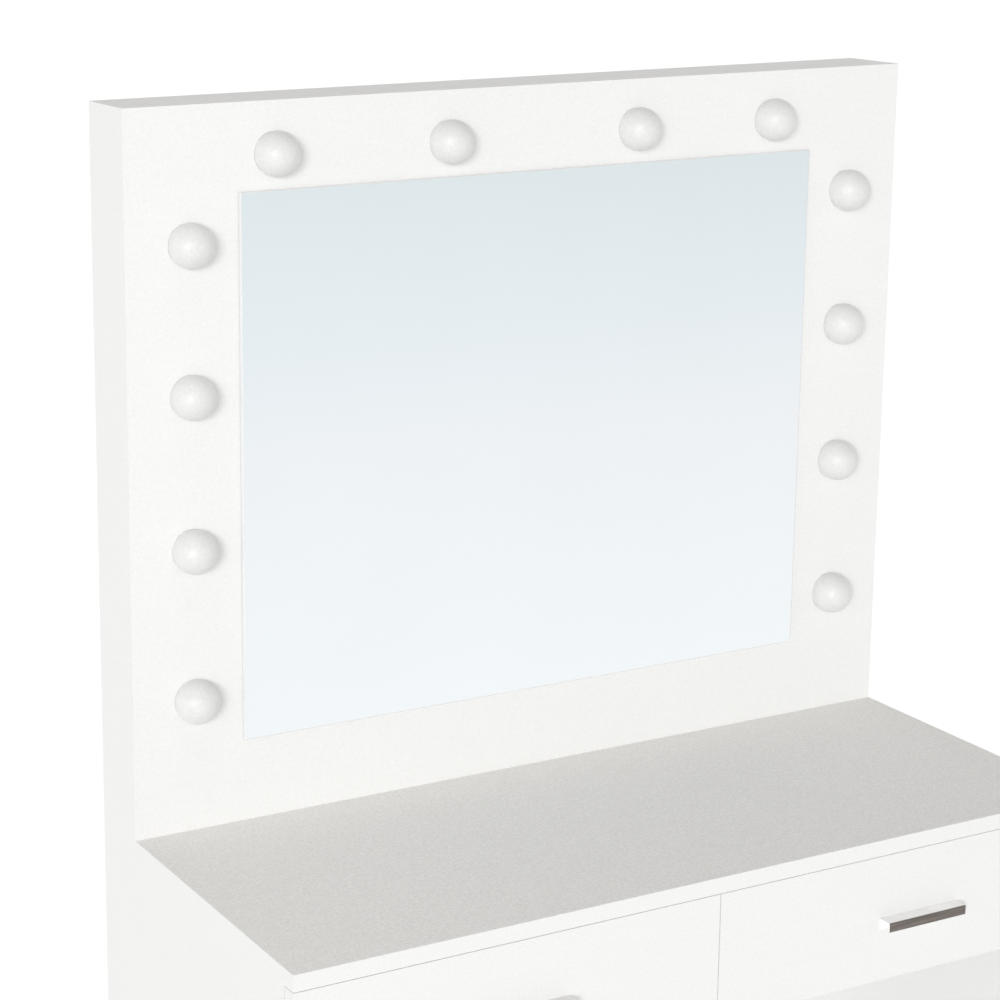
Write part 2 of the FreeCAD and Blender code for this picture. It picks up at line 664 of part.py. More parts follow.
def drawer(hand, side):
    """One drawer: its front, box, handle, fittings and runners."""
    buffers(hand, side)
    fixings = handle(hand, side) + drawer_fittings(hand, side) + runners(hand, side)
    node(hand + "_drawer_fixings", grouped(hand + "_drawer_fixings_all", fixings))
    depth = (DRAWER_FRONT, DRAWER_REAR)
    height = (DRAWER_BASE, f"{DRAWER_BASE} + drawer_wall_height")
    outer_inside = f"({OUTER_FACE} - drawer_board)"
    inner_inside = f"({INNER_FACE} + drawer_board)"
    floor_level = f"({DRAWER_BASE} + drawer_floor_lift)"
    floor_span = mirrored(side, f"{inner_inside} - drawer_groove", f"{outer_inside} + drawer_groove")
    floor_depth = (f"{DRAWER_FRONT} - drawer_groove", DRAWER_REAR)
    floor_height = (floor_level, f"{floor_level} + drawer_floor")
    node(hand + "_drawer_floor", block(hand + "_floor", floor_span, floor_depth, floor_height))
    for board in (hand + "_drawer_front", drawer_side(hand, "outer"), drawer_side(hand, "inner")):
        drill(board, block(board + "_groove", floor_span, floor_depth, floor_height))
    board_node(hand + "_drawer_front", mirrored(side, "centre_gap / 2", "width / 2"), (FRONT, DRAWER_FRONT),
               (FRONT_BOTTOM, FRONT_TOP))
    board_node(drawer_side(hand, "outer"), mirrored(side, outer_inside, OUTER_FACE), depth, height)
    board_node(drawer_side(hand, "inner"), mirrored(side, INNER_FACE, inner_inside), depth, height)
    board_node(hand + "_drawer_back", mirrored(side, inner_inside, outer_inside),
               (f"{DRAWER_REAR} - drawer_board", DRAWER_REAR), (floor_height[1], height[1]))


def mirror_box_boards():
    """The lighted panel, the box behind it and the thin backing let into its rear."""
    width_span = ("-width / 2", "width / 2")
    depth = (PANEL_REAR, BACK)
    inside = (f"-{SIDE_INSIDE}", SIDE_INSIDE)
    backing_span = (f"-({SIDE_INSIDE} + backing_lap)", f"{SIDE_INSIDE} + backing_lap")
    backing_depth = (BACKING_FRONT, BACK)
    backing_height = ("table_height", f"{BOX_CEILING} + backing_lap")
    board_node("lighted_panel", width_span, (FACE, PANEL_REAR), ("table_height", BOX_TOP))
    for hand, side in HANDS:
        name = f"mirror_box_{hand}_side"
        drill(name, block(name + "_rebate", mirrored(side, SIDE_INSIDE, f"{SIDE_INSIDE} + backing_lap"),
                          backing_depth, backing_height))
        board_node(name, mirrored(side, SIDE_INSIDE, "width / 2"), depth, ("table_height", BOX_CEILING))
    drill("mirror_box_roof", block("roof_rebate", backing_span, backing_depth, backing_height))
    board_node("mirror_box_roof", width_span, depth, (BOX_CEILING, BOX_TOP))
    floor_height = ("table_height", "table_height + board")
    board_node("mirror_box_floor", inside, (PANEL_REAR, BACKING_FRONT), floor_height)
    board_node("mirror_box_backing", backing_span, backing_depth, backing_height)


def mirror():
    """The glass and the foam pads that stick it to the panel."""
    depth = (f"{FACE} - pad_thickness - mirror_thickness", f"{FACE} - pad_thickness")
    node("mirror_glass", block("glass", (f"-{MIRROR_HALF}", MIRROR_HALF), depth, (MIRROR_LOW, MIRROR_HIGH)))
    reach = f"({MIRROR_HALF} - pad_inset)"
    pads = []
    for row, level in zip(ENDS, (f"{MIRROR_LOW} + pad_inset", f"{MIRROR_HIGH} - pad_inset")):
        for column, sign in (("left", LEFT), ("middle", 0), ("right", RIGHT)):
            x = f"{sign} * {reach}"
            span = (f"{x} - pad_width / 2", f"{x} + pad_width / 2")
            height = (f"{level} - pad_width / 2", f"{level} + pad_width / 2")
            pads.append(block(f"{row}_{column}_pad", span, (f"{FACE} - pad_thickness", FACE), height))
    node("mirror_pads", grouped("mirror_pads_all", pads))


def lamp_places():
    """Each lamp's name, place across, level, and whether it stands in a column."""
    places = []
    for hand, side in HANDS:
        for turn, level in enumerate(COLUMN_LEVELS, 1):
            places.append((f"{hand}_bulb_{turn}", f"{side} * {COLUMN}", level, True))
    for turn, place in enumerate(ROW_PLACES, 1):
        places.append((f"top_bulb_{turn}", place, ROW, False))
    return places


def globe(name, x, level):
    """A hollow globe with an open neck."""
    wall = "bulb_wall"
    neck = (BULB_CENTRE, NECK_END)
    outside = joined(name + "_outside", [ball(name + "_ball", x, BULB_CENTRE, level, "bulb_radius"),
                                         rod(name + "_neck", x, neck, level, "neck_radius")])
    inside = joined(name + "_inside", [ball(name + "_hollow", x, BULB_CENTRE, level, f"bulb_radius - {wall}"),
                                       rod(name + "_throat", x, neck, level, f"neck_radius - {wall}")])
    node(name, without(name + "_shell", outside, [inside]))


def screw_cap(name, x, level):
    """The metal cap that screws into the lampholder, with its end contact."""
    shell = rod(name + "_cap_shell", x, (NECK_END, CAP_END), level, "cap_radius")
    tip = rod(name + "_contact", x, (CAP_END, f"{CAP_END} + contact_length"), level, "contact_radius")
    return joined(name + "_cap", [shell, tip])


def lampholder(name, x, level, screw_places):
    """A flanged socket against the back of the panel."""
    plate = (PANEL_REAR, f"{PANEL_REAR} + holder_flange")
    flange = rod(name + "_flange", x, plate, level, "holder_flange_radius")
    barrel = rod(name + "_barrel", x, (PANEL_REAR, f"{PANEL_REAR} + holder_depth"), level, "holder_radius")
    depth = (PANEL_REAR, f"{CAP_END} + contact_length")
    bore = rod(name + "_bore", x, depth, level, "neck_radius + socket_play")
    holes = [rod(f"{name}_{end}_screw_hole", across, plate, up, "wood_screw_radius")
             for end, across, up in screw_places]
    return without(name + "_holder", joined(name + "_holder_body", [flange, barrel]), [bore] + holes)


def holder_screws(name, screw_places):
    """The two screws of a lampholder."""
    shank = (f"{PANEL_REAR} - dowel_depth", f"{PANEL_REAR} + holder_flange")
    head = (f"{PANEL_REAR} + holder_flange", f"{PANEL_REAR} + holder_flange + screw_head_height")
    screws = []
    for end, across, up in screw_places:
        label = f"{name}_{end}_holder_screw"
        drill("lighted_panel", rod(label + "_hole", across, shank, up, "wood_screw_radius"))
        stem = rod(label + "_shank", across, shank, up, "wood_screw_radius")
        screws.append(joined(label, [stem, rod(label + "_head", across, head, up, "screw_head_radius")]))
    return screws


def lamps():
    """Twelve globes, their caps, lampholders and screws."""
    caps = []
    holders = []
    for name, x, level, upright in lamp_places():
        globe(name, x, level)
        caps.append(screw_cap(name, x, level))
        drill("lighted_panel", rod(name + "_opening", x, (FACE, PANEL_REAR), level, BULB_OPENING))
        places = []
        for end, sign in (("near", LEFT), ("far", RIGHT)):
            shift = f"{sign} * holder_screw_offset"
            places.append((end, x, f"{level} + {shift}") if upright else (end, f"{x} + {shift}", level))
        holders.append(lampholder(name, x, level, places))
        wood_screws.extend(holder_screws(name, places))
    node("bulb_caps", grouped("bulb_caps_all", caps))
    node("lampholders", grouped("lampholders_all", holders))


def corner_flex(hand, side):
    """The flex from a column's highest lamp, round the corner, to the end of the row."""
    elbow = doc.addObject("Part::Torus", hand + "_flex_bend")
    elbow.Placement = FreeCAD.Placement(FreeCAD.Vector(), FreeCAD.Rotation(FreeCAD.Vector(1, 0, 0), 90))
    if side == LEFT:
        quarter = FreeCAD.Rotation(FreeCAD.Vector(0, 1, 0), -90)
        elbow.Placement = FreeCAD.Placement(FreeCAD.Vector(), quarter.multiply(elbow.Placement.Rotation))
    elbow.Angle3 = 90
    elbow.setExpression("Radius1", sized("flex_bend"))
    elbow.setExpression("Radius2", sized("flex_radius"))
    put(elbow, (f"{side} * ({COLUMN} - flex_bend)", FLEX_LEVEL, f"{ROW} - flex_bend"))
    rise = rod(hand + "_flex_rise", f"{side} * {COLUMN}", FLEX_LEVEL,
               (f"{HIGHEST_LAMP} + holder_radius", f"{ROW} - flex_bend"), "flex_radius")
    if side == LEFT:
        run = (f"-({COLUMN} - flex_bend)", f"{ROW_PLACES[0]} - holder_radius")
    else:
        run = (f"{ROW_PLACES[-1]} + holder_radius", f"{COLUMN} - flex_bend")
    across = rod(hand + "_flex_across", run, FLEX_LEVEL, ROW, "flex_radius")
    return joined(hand + "_corner_flex", [rise, elbow, across])


def wiring():
    """Flex from lamp to lamp, the terminal box that feeds it, and the outlet for the mains cord."""
    flexes = []
    for hand, side in HANDS:
        for turn, (low, high) in enumerate(zip(COLUMN_LEVELS, COLUMN_LEVELS[1:]), 1):
            span = (f"{low} + holder_radius", f"{high} - holder_radius")
            flexes.append(rod(f"{hand}_flex_{turn}", f"{side} * {COLUMN}", FLEX_LEVEL, span, "flex_radius"))
        flexes.append(corner_flex(hand, side))
    for turn, (near, far) in enumerate(zip(ROW_PLACES, ROW_PLACES[1:]), 1):
        span = (f"{near} + holder_radius", f"{far} - holder_radius")
        flexes.append(rod(f"top_flex_{turn}", span, FLEX_LEVEL, ROW, "flex_radius"))
    feed = ("table_height + board + terminal_height", f"{LOWEST_LAMP} - holder_radius")
    flexes.append(rod("feed_flex", COLUMN, FLEX_LEVEL, feed, "flex_radius"))
    node("lamp_flex", grouped("lamp_flex_all", flexes))

    place = f"{PANEL_REAR} + terminal_set_back"
    span = (f"{COLUMN} - terminal_width / 2", f"{COLUMN} + terminal_width / 2")
    height = ("table_height + board", "table_height + board + terminal_height")
    node("terminal_box", block("terminal", span, (place, f"{place} + terminal_depth"), height))
    through = (BACKING_FRONT, BACK)
    barrel = rod("gland_barrel", COLUMN, through, TERMINAL_LEVEL, "gland_radius")
    rim_span = (f"{BACKING_FRONT} - gland_flange", BACKING_FRONT)
    rim = rod("gland_rim", COLUMN, rim_span, TERMINAL_LEVEL, "gland_flange_radius")
    bore = rod("gland_bore_tool", COLUMN, (rim_span[0], BACK), TERMINAL_LEVEL, "gland_bore")
    drill("mirror_box_backing", rod("gland_hole", COLUMN, through, TERMINAL_LEVEL, "gland_radius"))
    node("cord_gland", without("cord_gland_cut", joined("gland_body", [barrel, rim]), [bore]))


def check():
    """Stop if any object failed or any piece is empty or broken."""
    for item in doc.Objects:
        if "Invalid" in item.State or "Error" in item.State:
            raise RuntimeError(f"{item.Name} failed")
    for piece in nodes:
        if piece.Shape.isNull() or not piece.Shape.isValid() or not piece.Shape.Solids:
            raise RuntimeError(f"{piece.Label} has no valid shape")


make_sheet()
carcass_fittings()
panel_dowels()
backing_screws()
box_bolts()
feet()
for drawer_hand, drawer_sign in HANDS:
    drawer(drawer_hand, drawer_sign)
lamps()
wiring()
mirror()
table_boards()
mirror_box_boards()
node("cabinet_rails", grouped("cabinet_rails_all", cabinet_rails))
node("dowels", grouped("dowels_all", dowels))
node("wood_screws", grouped("wood_screws_all", wood_screws))
doc.recompute()
check()

os.makedirs("parts", exist_ok=True)
for piece in nodes:
    piece.Shape.exportStep(f"parts/{piece.Label}.step")
print(len(nodes), "nodes")
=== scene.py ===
import json
import math

import bmesh
import bpy
from mathutils import Matrix, Vector


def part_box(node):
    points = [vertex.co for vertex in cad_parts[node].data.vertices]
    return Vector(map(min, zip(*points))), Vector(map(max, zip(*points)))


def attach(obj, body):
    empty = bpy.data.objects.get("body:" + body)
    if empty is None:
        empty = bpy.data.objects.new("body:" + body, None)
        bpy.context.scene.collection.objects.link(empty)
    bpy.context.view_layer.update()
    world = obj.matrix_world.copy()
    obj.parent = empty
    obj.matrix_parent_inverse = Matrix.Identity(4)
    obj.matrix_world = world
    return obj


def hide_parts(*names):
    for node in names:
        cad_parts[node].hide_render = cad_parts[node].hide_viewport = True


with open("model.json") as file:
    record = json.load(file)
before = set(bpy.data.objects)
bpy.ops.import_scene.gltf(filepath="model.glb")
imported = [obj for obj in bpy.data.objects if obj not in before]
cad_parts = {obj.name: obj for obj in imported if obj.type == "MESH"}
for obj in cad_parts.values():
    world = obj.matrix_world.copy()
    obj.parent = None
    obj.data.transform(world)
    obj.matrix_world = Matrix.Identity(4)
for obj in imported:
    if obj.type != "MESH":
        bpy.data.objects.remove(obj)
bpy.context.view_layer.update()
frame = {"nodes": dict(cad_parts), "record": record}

# Looks for the vanity table: white boards, an opal globe in each opening of the lighted
# panel, a frameless mirror and two folded metal pulls. Metres, in the CAD model's frame.

MM = 0.001
RECORD = frame["record"]
NODES = frame["nodes"]
HANDS = ("left", "right")
BULBS = [name for name in NODES if "_bulb_" in name]

# Round pieces
LATHE_STEPS = 96
GLOBE_STEPS = 40
NECK_RADIUS = 13.5 * MM
GLOBE_WALL = 1.2 * MM

# The folded pull
PULL_PLATE = 2.5 * MM
PULL_WALL = 2.0 * MM
PULL_LIP = 10.6 * MM
PULL_FOLD = 1.2 * MM
PULL_INNER = 0.4 * MM
PULL_EDGE = 0.25 * MM
PULL_SHARP_EDGE = math.radians(50)
PULL_FRONT_FACING = -0.3
FOLD_STEPS = 6
# Painted reflections on one brushed steel: the front lip is painted dark and the top near-white
PAINTED_DARK_FRONT_METAL = (0.12, 0.105, 0.095)
PAINTED_DARK_FRONT_GRAIN = (0.24, 0.215, 0.20)
PAINTED_BRIGHT_TOP_METAL = (0.93, 0.925, 0.92)
PAINTED_BRIGHT_TOP_GRAIN = (0.96, 0.955, 0.95)

# The mirror pane, with a painted reflection in the colour of its silvering: tones from its foot to
# its top, darker towards the top
PANE_ARRIS = 1.0 * MM
PANE_FRONT_FACING = -0.9
MIRROR_PAINTED_REFLECTION_TONES = (
    (0.0, (0.796, 0.832, 0.855)),
    (0.25, (0.775, 0.812, 0.838)),
    (0.49, (0.759, 0.790, 0.816)),
    (0.74, (0.694, 0.751, 0.781)),
    (1.0, (0.651, 0.712, 0.735)),
)

# Boards: their colours, and how far each slot's edges are rounded
WHITE = (0.87, 0.87, 0.86)
# The table top's up-facing faces get a painted shade, darker and warmer than the white board
TABLE_TOP_PAINTED_SHADE = (0.845, 0.835, 0.817)
DRAWER_WHITE = (0.82, 0.82, 0.81)
HARDBOARD = (0.80, 0.795, 0.78)
BOARD_SPECKLE = 0.03
TOP_SPECKLE = 0.10
EDGE_ROUNDING = {"white_board": 0.5 * MM, "drawer_board": 0.4 * MM}
WELD_REACH = 0.01 * MM
SHARP_EDGE = math.radians(40)

# A noise pattern mostly lies between these values
NOISE_LOW = 0.3
NOISE_HIGH = 0.7

# The camera, placed from the foot of the lighted panel
CAMERA_OFFSET = Vector((-1.5214, -2.3717, 1.0663))
CAMERA_YAW = math.radians(-27.0)
CAMERA_PITCH = math.radians(-12.68)
CAMERA_ROLL = math.radians(0.278)
CAMERA_LENS = 91.8
CAMERA_SENSOR = 36.0
CAMERA_SHIFT = (0.212, -0.100)

# The key light, low on the left
KEY_AIM = (0, 0, 1.0)
KEY_PLACE = (-15.6, -18.0, 6.0)
KEY_SIZE = 6.8
KEY_POWER = 2600.0

# A weak light straight above the table's left end
TOP_LIGHT_AIM = (-0.58, -0.33, 0.0)
TOP_LIGHT_PLACE = (-0.58, -0.33, 2.05)
TOP_LIGHT_SIZE = 0.5
TOP_LIGHT_POWER = 0.38
TOP_LIGHT_SPREAD = math.radians(80)

# The room's brightness by height, from straight down at 0 to straight up at 1
ROOM_TONES = ((0.0, 0.71), (0.46, 0.71), (0.49, 1.0), (0.67, 1.0), (0.76, 0.52), (1.0, 0.41))
NEUTRAL = (1.0, 1.0, 1.0)
WARM = (1.0, 0.985, 0.96)
WARM_ABOVE = 0.7

# The floor
FLOOR_REACH = 300.0
FLOOR_GLOW = 0.58
FLOOR_TONES = (0.80, 0.82)


def collection_add(piece):
    """Put a new object in the scene."""
    bpy.context.scene.collection.objects.link(piece)
    return piece


def mesh_piece(name, body, build, material, smooth=True):
    """An object whose mesh a function builds, riding on a body and out of the mirror's sight."""
    form = bmesh.new()
    build(form)
    bmesh.ops.recalc_face_normals(form, faces=form.faces)
    mesh = bpy.data.meshes.new(name)
    form.to_mesh(mesh)
    form.free()
    mesh.materials.append(material)
    for face in mesh.polygons:
        face.use_smooth = smooth
    piece = collection_add(bpy.data.objects.new(name, mesh))
    piece.visible_glossy = False
    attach(piece, body)
    return piece


def body_of(node):
    """The CAD body that a node belongs to."""
    return next(body for body, names in RECORD["behaviour"]["bodies"].items() if node in names)


# ---------------------------------------------------------------- materials


class Shader:
    """A material's node tree, written from its surface back to its coordinates."""

    def __init__(self, name, roughness, metallic=0.0):
        self.material = bpy.data.materials.new(name)
        self.material.use_nodes = True
        self.tree = self.material.node_tree
        self.surface = self.tree.nodes["Principled BSDF"]
        self.surface.inputs["Roughness"].default_value = roughness
        self.surface.inputs["Metallic"].default_value = metallic
        self.coordinates = self.add("ShaderNodeTexCoord")
        self.place = self.coordinates.outputs["Object"]

    def add(self, kind, **settings):
        """A new node, with its properties set."""
        node = self.tree.nodes.new(kind)
        for key, value in settings.items():
            setattr(node, key, value)
        return node

    def link(self, source, target):
        """Join an output to an input."""
        self.tree.links.new(source, target)

    def stretched(self, stretch):
        """Object coordinates, stretched along each axis."""
        mapping = self.add("ShaderNodeMapping")
        mapping.inputs["Scale"].default_value = stretch
        self.link(self.place, mapping.inputs["Vector"])
        return mapping.outputs["Vector"]

    def noise(self, scale, detail=2.0, rough=0.5, stretch=None):
        """A noise pattern's value."""
        node = self.add("ShaderNodeTexNoise")
        node.inputs["Scale"].default_value = scale
        node.inputs["Detail"].default_value = detail
        node.inputs["Roughness"].default_value = rough
        self.link(self.stretched(stretch) if stretch else self.place, node.inputs["Vector"])
        return node.outputs["Fac"]

    def ramp(self, value, stops):
        """A colour ramp between (place, colour) stops."""
        node = self.add("ShaderNodeValToRGB")
        elements = node.color_ramp.elements
        while len(elements) < len(stops):
            elements.new(0.5)
        for element, (place, colour) in zip(elements, stops):
            element.position = place
            element.color = (*colour, 1.0)
        self.link(value, node.inputs["Fac"])
        return node.outputs["Color"]

    def spread(self, value, low, high):
        """A noise value, spread from low to high."""
        node = self.add("ShaderNodeMapRange")
        node.inputs["From Min"].default_value = NOISE_LOW
        node.inputs["From Max"].default_value = NOISE_HIGH
        node.inputs["To Min"].default_value = low
        node.inputs["To Max"].default_value = high
        self.link(value, node.inputs["Value"])
        return node.outputs["Result"]

    def height(self, low, high):
        """How far up a point lies between two levels, from 0 to 1."""
        split = self.add("ShaderNodeSeparateXYZ")
        span = self.add("ShaderNodeMapRange")
        span.inputs["From Min"].default_value = low
        span.inputs["From Max"].default_value = high
        self.link(self.place, split.inputs["Vector"])
        self.link(split.outputs["Z"], span.inputs["Value"])
        return span.outputs["Result"]

    def facing_up(self):
        """How squarely a face looks up, from 0 to 1."""
        split = self.add("ShaderNodeSeparateXYZ")
        self.link(self.coordinates.outputs["Normal"], split.inputs["Vector"])
        return split.outputs["Z"]

    def blend(self, first, second, share):
        """One colour turning into another."""
        node = self.add("ShaderNodeMix", data_type="RGBA")
        self.link(share, node.inputs["Factor"])
        self.link(first, node.inputs["A"])
        self.link(second, node.inputs["B"])
        return node.outputs["Result"]

    def tint(self, colour, value, low, high):
        """A colour made darker and lighter by a pattern."""
        node = self.add("ShaderNodeMix", data_type="RGBA", blend_type="MULTIPLY")
        node.inputs["Factor"].default_value = 1.0
        shade = self.ramp(value, ((NOISE_LOW, (low,) * 3), (NOISE_HIGH, (high,) * 3)))
        self.link(colour, node.inputs["A"])
        self.link(shade, node.inputs["B"])
        return node.outputs["Result"]

    def bump(self, value, strength, distance):
        """A bump pattern's normal."""
        node = self.add("ShaderNodeBump")
        node.inputs["Strength"].default_value = strength
        node.inputs["Distance"].default_value = distance
        self.link(value, node.inputs["Height"])
        return node.outputs["Normal"]

    def finish(self, colour, roughness=None, normal=None):
        """Join colour, roughness and normal to the surface."""
        for source, name in ((colour, "Base Color"), (roughness, "Roughness"), (normal, "Normal")):
            if source:
                self.link(source, self.surface.inputs[name])
        return self.material


def scaled(colour, share):
    """A colour made darker or lighter."""
    return tuple(channel * share for channel in colour)


def speckled(shader, colour, speckle):
    """A board's colour with fine speckle."""
    fine = shader.noise(330.0, detail=4.0, rough=0.65)
    dark = scaled(colour, 1.0 - speckle)
    light = scaled(colour, 1.0 + speckle)
    return shader.ramp(fine, ((0.32, dark), (0.68, light)))


def board_material(name, colour, roughness, painted_shade_up=None):
    """Melamine-faced board: a fine pressed texture with faint speckle and broad mottling, and,
    where given, a painted shade colour on faces that look up.
    """
    shader = Shader(name, roughness)
    shader.surface.inputs["Specular IOR Level"].default_value = 0.35
    base = speckled(shader, colour, BOARD_SPECKLE)
    if painted_shade_up:
        # Painted shade: faces that look up blend to the darker, warmer shade colour
        base = shader.blend(base, speckled(shader, painted_shade_up, TOP_SPECKLE), shader.facing_up())
    base = shader.tint(base, shader.noise(4.0, detail=3.0), 0.992, 1.0)
    gloss = shader.spread(shader.noise(60.0, detail=4.0), roughness - 0.05, roughness + 0.06)
    pressed = shader.bump(shader.noise(900.0, detail=2.0), 0.10, 0.15 * MM)
    return shader.finish(base, gloss, pressed)


def hardboard_material():
    """Thin lacquered hardboard, with a little more fibre showing."""
    shader = Shader("lacquered_hardboard", 0.5)
    fibre = shader.noise(220.0, detail=6.0, rough=0.7)
    base = shader.ramp(fibre, ((0.35, scaled(HARDBOARD, 0.96)), (0.65, scaled(HARDBOARD, 1.02))))
    normal = shader.bump(shader.noise(500.0, detail=5.0), 0.2, 0.2 * MM)
    return shader.finish(base, shader.spread(fibre, 0.42, 0.58), normal)


def mirror_material():
    """Silvered glass with a painted reflection, darker towards its top, and the faint haze of a
    wiped surface.
    """
    shader = Shader("silvered_glass", 0.06, metallic=1.0)
    low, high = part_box("mirror_glass")
    level = shader.height(low.z, high.z)
    haze = shader.noise(7.0, detail=5.0, rough=0.55, stretch=(1.0, 1.0, 0.35))
    base = shader.tint(shader.ramp(level, MIRROR_PAINTED_REFLECTION_TONES), haze, 0.99, 1.0)
    return shader.finish(base, shader.spread(haze, 0.05, 0.09))


def glass_edge_material():
    """The ground and polished edge of the glass."""
    shader = Shader("ground_glass_edge", 0.2)
    shader.surface.inputs["Specular IOR Level"].default_value = 0.35
    grind = shader.noise(900.0, detail=3.0)
    base = shader.ramp(grind, ((NOISE_LOW, (0.75, 0.765, 0.76)), (NOISE_HIGH, (0.80, 0.815, 0.81))))
    return shader.finish(base, shader.spread(grind, 0.15, 0.3))


def opal_material():
    """Opal lamp glass: milky, with a soft gloss."""
    shader = Shader("opal_glass", 0.42)
    shader.surface.inputs["Subsurface Weight"].default_value = 0.15
    shader.surface.inputs["Subsurface Radius"].default_value = (0.01, 0.01, 0.01)
    shader.surface.inputs["Subsurface Scale"].default_value = 0.6
    shader.surface.inputs["Coat Weight"].default_value = 0.14
    shader.surface.inputs["Coat Roughness"].default_value = 0.4
    cloud = shader.noise(260.0, detail=6.0, rough=0.75)
    base = shader.ramp(cloud, ((0.37, (0.75, 0.75, 0.74)), (0.63, (0.815, 0.815, 0.805))))
    return shader.finish(base, shader.spread(cloud, 0.36, 0.48))


def brushed_material(name, dark, light, roughness, grain=0.5):
    """Metal brushed along its length."""
    shader = Shader(name, roughness, metallic=1.0)
    shader.surface.inputs["Anisotropic"].default_value = grain
    lines = shader.noise(600.0, detail=4.0, rough=0.65, stretch=(0.03, 1.0, 1.0))
    broad = shader.noise(40.0, detail=2.0, stretch=(1.0, 1.0, 1.0))
    base = shader.ramp(lines, ((NOISE_LOW, dark), (NOISE_HIGH, light)))
    base = shader.tint(base, broad, 0.94, 1.03)
    normal = shader.bump(lines, 0.08, 0.05 * MM)
    return shader.finish(base, shader.spread(lines, roughness - 0.08, roughness + 0.1), normal)


def zinc_material():
    """Bright zinc plating, faintly mottled."""
    shader = Shader("zinc_plate", 0.35, metallic=1.0)
    mottle = shader.noise(160.0, detail=4.0, rough=0.6)
    base = shader.ramp(mottle, ((0.35, (0.635, 0.64, 0.655)), (0.65, (0.67, 0.675, 0.685))))
    return shader.finish(base, shader.spread(mottle, 0.33, 0.38))


def plastic_material(name, colour, roughness):
    """Moulded plastic with a fine spark-eroded texture."""
    shader = Shader(name, roughness)
    grain = shader.noise(1800.0, detail=2.0)
    mottle = shader.noise(30.0, detail=2.0)
    base = shader.ramp(mottle, ((NOISE_LOW, scaled(colour, 0.97)), (NOISE_HIGH, colour)))
    normal = shader.bump(grain, 0.15, 0.05 * MM)
    return shader.finish(base, shader.spread(grain, roughness - 0.06, roughness + 0.06), normal)


def dowel_material():
    """Raw beech, with its grain along the dowel."""
    shader = Shader("raw_beech", 0.6)
    grain = shader.noise(300.0, detail=4.0, stretch=(1.0, 0.1, 0.1))
    base = shader.ramp(grain, ((0.35, (0.42, 0.27, 0.14)), (0.65, (0.58, 0.40, 0.23))))
    return shader.finish(base, shader.spread(grain, 0.5, 0.7))


MATERIALS = {
    "white_board": board_material("white_melamine", WHITE, 0.42),
    # The table top carries a painted shade on its up-facing faces
    "table_top": board_material("table_top_melamine_painted_shade", WHITE, 0.42, painted_shade_up=TABLE_TOP_PAINTED_SHADE),
    "drawer_board": board_material("drawer_melamine", DRAWER_WHITE, 0.45),
    "hardboard": hardboard_material(),
    "mirror": mirror_material(),
    "glass_edge": glass_edge_material(),
    "opal_glass": opal_material(),
    # The pull's steel in two painted copies: a painted dark reflection in front, a painted bright
    # reflection elsewhere
    "handle_metal": brushed_material("steel_painted_dark_reflection", PAINTED_DARK_FRONT_METAL, PAINTED_DARK_FRONT_GRAIN, 0.38),
    "handle_top": brushed_material("satin_steel_painted_bright_reflection", PAINTED_BRIGHT_TOP_METAL, PAINTED_BRIGHT_TOP_GRAIN, 0.14, 0.0),
    "runner_steel": zinc_material(),
    "fastener_steel": zinc_material(),
    "soft_plastic": plastic_material("soft_clear_plastic", (0.80, 0.80, 0.80), 0.4),
    "foam": plastic_material("foam_tape", (0.70, 0.70, 0.70), 0.8),
    "cap_metal": brushed_material("nickel_plate", (0.60, 0.59, 0.57), (0.72, 0.71, 0.69), 0.25),
    "socket_plastic": plastic_material("socket_plastic", (0.84, 0.84, 0.83), 0.3),
    "flex_rubber": plastic_material("white_flex", (0.80, 0.80, 0.79), 0.5),
    "foot_plastic": plastic_material("glide_plastic", (0.70, 0.70, 0.70), 0.45),
    "dowel_wood": dowel_material(),
}


# ---------------------------------------------------------------- CAD nodes


def round_edges(piece, width, sharpest):
    """Round the edges of a piece that turn by more than an angle."""
    bevel = piece.modifiers.new("edge_rounding", "BEVEL")
    bevel.width = width
    bevel.segments = 2
    bevel.limit_method = "ANGLE"
    bevel.angle_limit = sharpest
    return bevel


def soften(piece, width):
    """Weld a carried-over mesh and round its sharp edges a little."""
    weld = piece.modifiers.new("weld", "WELD")
    weld.merge_threshold = WELD_REACH
    bevel = round_edges(piece, width, SHARP_EDGE)
    bevel.harden_normals = True


def dress_nodes():
    """Give every CAD node its material and the boards softened edges, out of the mirror's sight."""
    for entry in RECORD["subparts"]:
        node = NODES[entry["node"]]
        key = entry["material_slot"]
        look = "table_top" if entry["node"] == "table_top" else key
        node.data.materials.clear()
        node.data.materials.append(MATERIALS[look])
        node.visible_glossy = False
        if key in EDGE_ROUNDING:
            soften(node, EDGE_ROUNDING[key])


# ---------------------------------------------------------------- new pieces


def lathe(form, centre, profile):
    """Turn an outline of (radius, distance) points round the Y axis through a point."""
    turn = Matrix.Rotation(math.radians(-90), 3, "X")
    rings = []
    for radius, along in profile:
        ring = []
        for step in range(LATHE_STEPS):
            angle = 2 * math.pi * step / LATHE_STEPS
            point = Vector((radius * math.cos(angle), radius * math.sin(angle), along))
            ring.append(form.verts.new(Vector(centre) + turn @ point))
            if radius == 0:
                break
        rings.append(ring)
    for near, far in zip(rings, rings[1:]):
        for step in range(LATHE_STEPS):
            after = (step + 1) % LATHE_STEPS
            if len(near) == 1:
                form.faces.new((near[0], far[step], far[after]))
            elif len(far) == 1:
                form.faces.new((near[step], near[after], far[0]))
            else:
                form.faces.new((near[step], near[after], far[after], far[step]))


